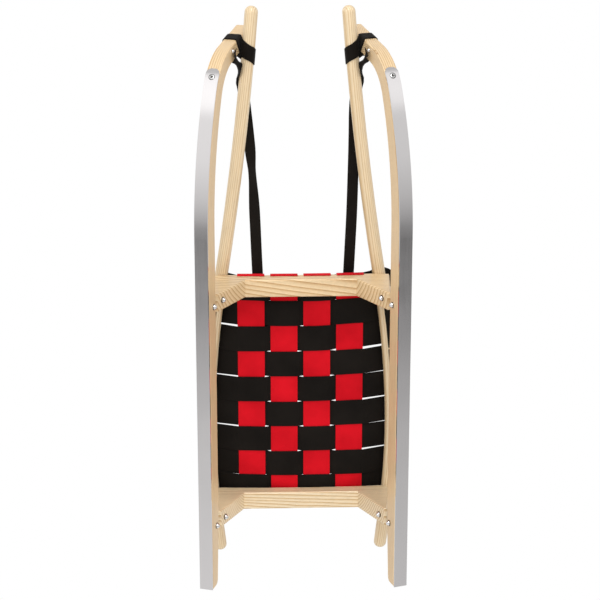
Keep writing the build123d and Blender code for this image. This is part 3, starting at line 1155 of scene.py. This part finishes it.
# Floor, backdrop and light: a pale studio. The floor is seen from above only, because the
# photograph's view comes up through it, and the lights under it reach the sled.
floor_material, tree = new_material("pale_studio_floor")
grit = add_node(tree, "ShaderNodeTexNoise", {"Scale": 60.0, "Detail": 2.0})
pale = add_node(
    tree,
    "ShaderNodeMix",
    {"Factor": grit.outputs[0], "A": linear("#e6e6e4"), "B": linear("#efefed")},
    data_type="RGBA",
)
ground = add_node(
    tree, "ShaderNodeBsdfPrincipled", {"Base Color": pale.outputs["Result"], "Roughness": 0.7}
)
clear = add_node(tree, "ShaderNodeBsdfTransparent")
facing = add_node(tree, "ShaderNodeNewGeometry")
seen = add_node(
    tree,
    "ShaderNodeMixShader",
    {0: facing.outputs["Backfacing"], 1: ground.outputs["BSDF"], 2: clear.outputs["BSDF"]},
)
add_node(tree, "ShaderNodeOutputMaterial", {"Surface": seen.outputs[0]})
slab = bmesh.new()
bmesh.ops.create_grid(slab, x_segments=2, y_segments=2, size=9)
floor_mesh = bpy.data.meshes.new("floor")
slab.to_mesh(floor_mesh)
slab.free()
floor_mesh.materials.append(floor_material)
floor = stand("floor", floor_mesh)
floor.visible_shadow = False
floor.visible_diffuse = False
floor.visible_glossy = False

world = bpy.data.worlds.new("studio")
world.use_nodes = True
tree = world.node_tree
tree.nodes.clear()
path_kind = add_node(tree, "ShaderNodeLightPath")
way = add_node(tree, "ShaderNodeTexCoord")
parts = add_node(tree, "ShaderNodeSeparateXYZ", {"Vector": way.outputs["Generated"]})
along = add_node(
    tree, "ShaderNodeMapRange", {"Value": parts.outputs["Y"], "From Min": -1.0, "From Max": 1.0}
)
cards = add_node(tree, "ShaderNodeValToRGB", {"Fac": along.outputs[0]})
# How bright the studio is under the sled, from its front to its back: white boards with a dark
# gap between them, which the bright steel mirrors
card_stops = (
    (-1.0, 0.45),
    (-0.90, 0.50),
    (-0.84, 0.92),
    (-0.49, 0.98),
    (-0.43, 0.67),
    (-0.36, 0.69),
    (-0.18, 0.68),
    (0.05, 0.525),
    (0.165, 0.39),
    (0.235, 0.24),
    (0.285, 0.142),
    (0.318, 0.145),
    (0.343, 0.385),
    (0.372, 0.51),
    (0.41, 0.54),
    (0.60, 0.70),
)
for k, (place, grey) in enumerate(card_stops):
    spot = (place + 1) / 2
    stop = cards.color_ramp.elements[0] if k == 0 else cards.color_ramp.elements.new(spot)
    stop.position = spot
    stop.color = (grey, grey, grey * 0.99, 1)
cards.color_ramp.elements[-1].color = (0.8, 0.8, 0.8, 1)
# The boards are a little brighter on the left, and a narrow lamp stands low in front
card_strength = 1.3
card_lean = 0.18
lamp_strength = 9.0
lit = add_node(tree, "ShaderNodeBackground", {"Color": linear("#ffffff"), "Strength": 0.75})
leaning = add_node(
    tree,
    "ShaderNodeMath",
    {0: parts.outputs["X"], 1: -card_lean * card_strength, 2: card_strength},
    operation="MULTIPLY_ADD",
)
aside = add_node(tree, "ShaderNodeMath", {0: parts.outputs["X"]}, operation="ABSOLUTE")
lamp_width = add_node(
    tree, "ShaderNodeMapRange", {"Value": aside.outputs[0], "From Min": 0.3, "From Max": 0.12}
)
lamp_height = add_node(
    tree,
    "ShaderNodeMapRange",
    {"Value": parts.outputs["Y"], "From Min": -0.6, "From Max": -0.75},
)
lamp_glow = add_node(
    tree,
    "ShaderNodeMath",
    {0: lamp_width.outputs[0], 1: lamp_height.outputs[0]},
    operation="MULTIPLY",
)
strength = add_node(
    tree,
    "ShaderNodeMath",
    {0: lamp_glow.outputs[0], 1: lamp_strength, 2: leaning.outputs[0]},
    operation="MULTIPLY_ADD",
)
mirrored = add_node(
    tree,
    "ShaderNodeBackground",
    {"Color": cards.outputs["Color"], "Strength": strength.outputs[0]},
)
plain = add_node(tree, "ShaderNodeBackground", {"Color": linear("#ffffff"), "Strength": 1.0})
below = add_node(
    tree, "ShaderNodeMapRange", {"Value": parts.outputs["Z"], "From Min": 0.20, "From Max": 0.0}
)
glossy = add_node(
    tree,
    "ShaderNodeMath",
    {0: path_kind.outputs["Is Glossy Ray"], 1: below.outputs[0]},
    operation="MULTIPLY",
)
room = add_node(
    tree,
    "ShaderNodeMixShader",
    {0: glossy.outputs[0], 1: lit.outputs[0], 2: mirrored.outputs[0]},
)
sky_mix = add_node(
    tree,
    "ShaderNodeMixShader",
    {0: path_kind.outputs["Is Camera Ray"], 1: room.outputs[0], 2: plain.outputs[0]},
)
add_node(tree, "ShaderNodeOutputWorld", {"Surface": sky_mix.outputs[0]})
bpy.context.scene.world = world

# Soft boxes: place, size in metres and power in watts. All of them face the sled.
soft_boxes = (
    ("below_front", (-0.8, -2.7, -2.6), 2.0, 36),
    ("low_front", (0.2, -3.4, -1.1), 1.6, 28),
    ("below_rear", (0.4, 1.1, -3.0), 2.0, 24),
    ("above_left", (-2.2, -1.2, 2.8), 2.0, 38),
    ("above_right", (2.4, 1.4, 2.4), 2.0, 16),
)
sled_middle = Vector((0, 0, 0.15))
for name, spot, size, power in soft_boxes:
    box = bpy.data.lights.new(name, "AREA")
    box.size = size
    box.energy = power
    lamp = stand(name, box)
    lamp.visible_glossy = False
    aim = (sled_middle - Vector(spot)).to_track_quat("-Z", "Y").to_matrix().to_4x4()
    lamp.matrix_world = Matrix.Translation(spot) @ aim

bpy.context.view_layer.update()
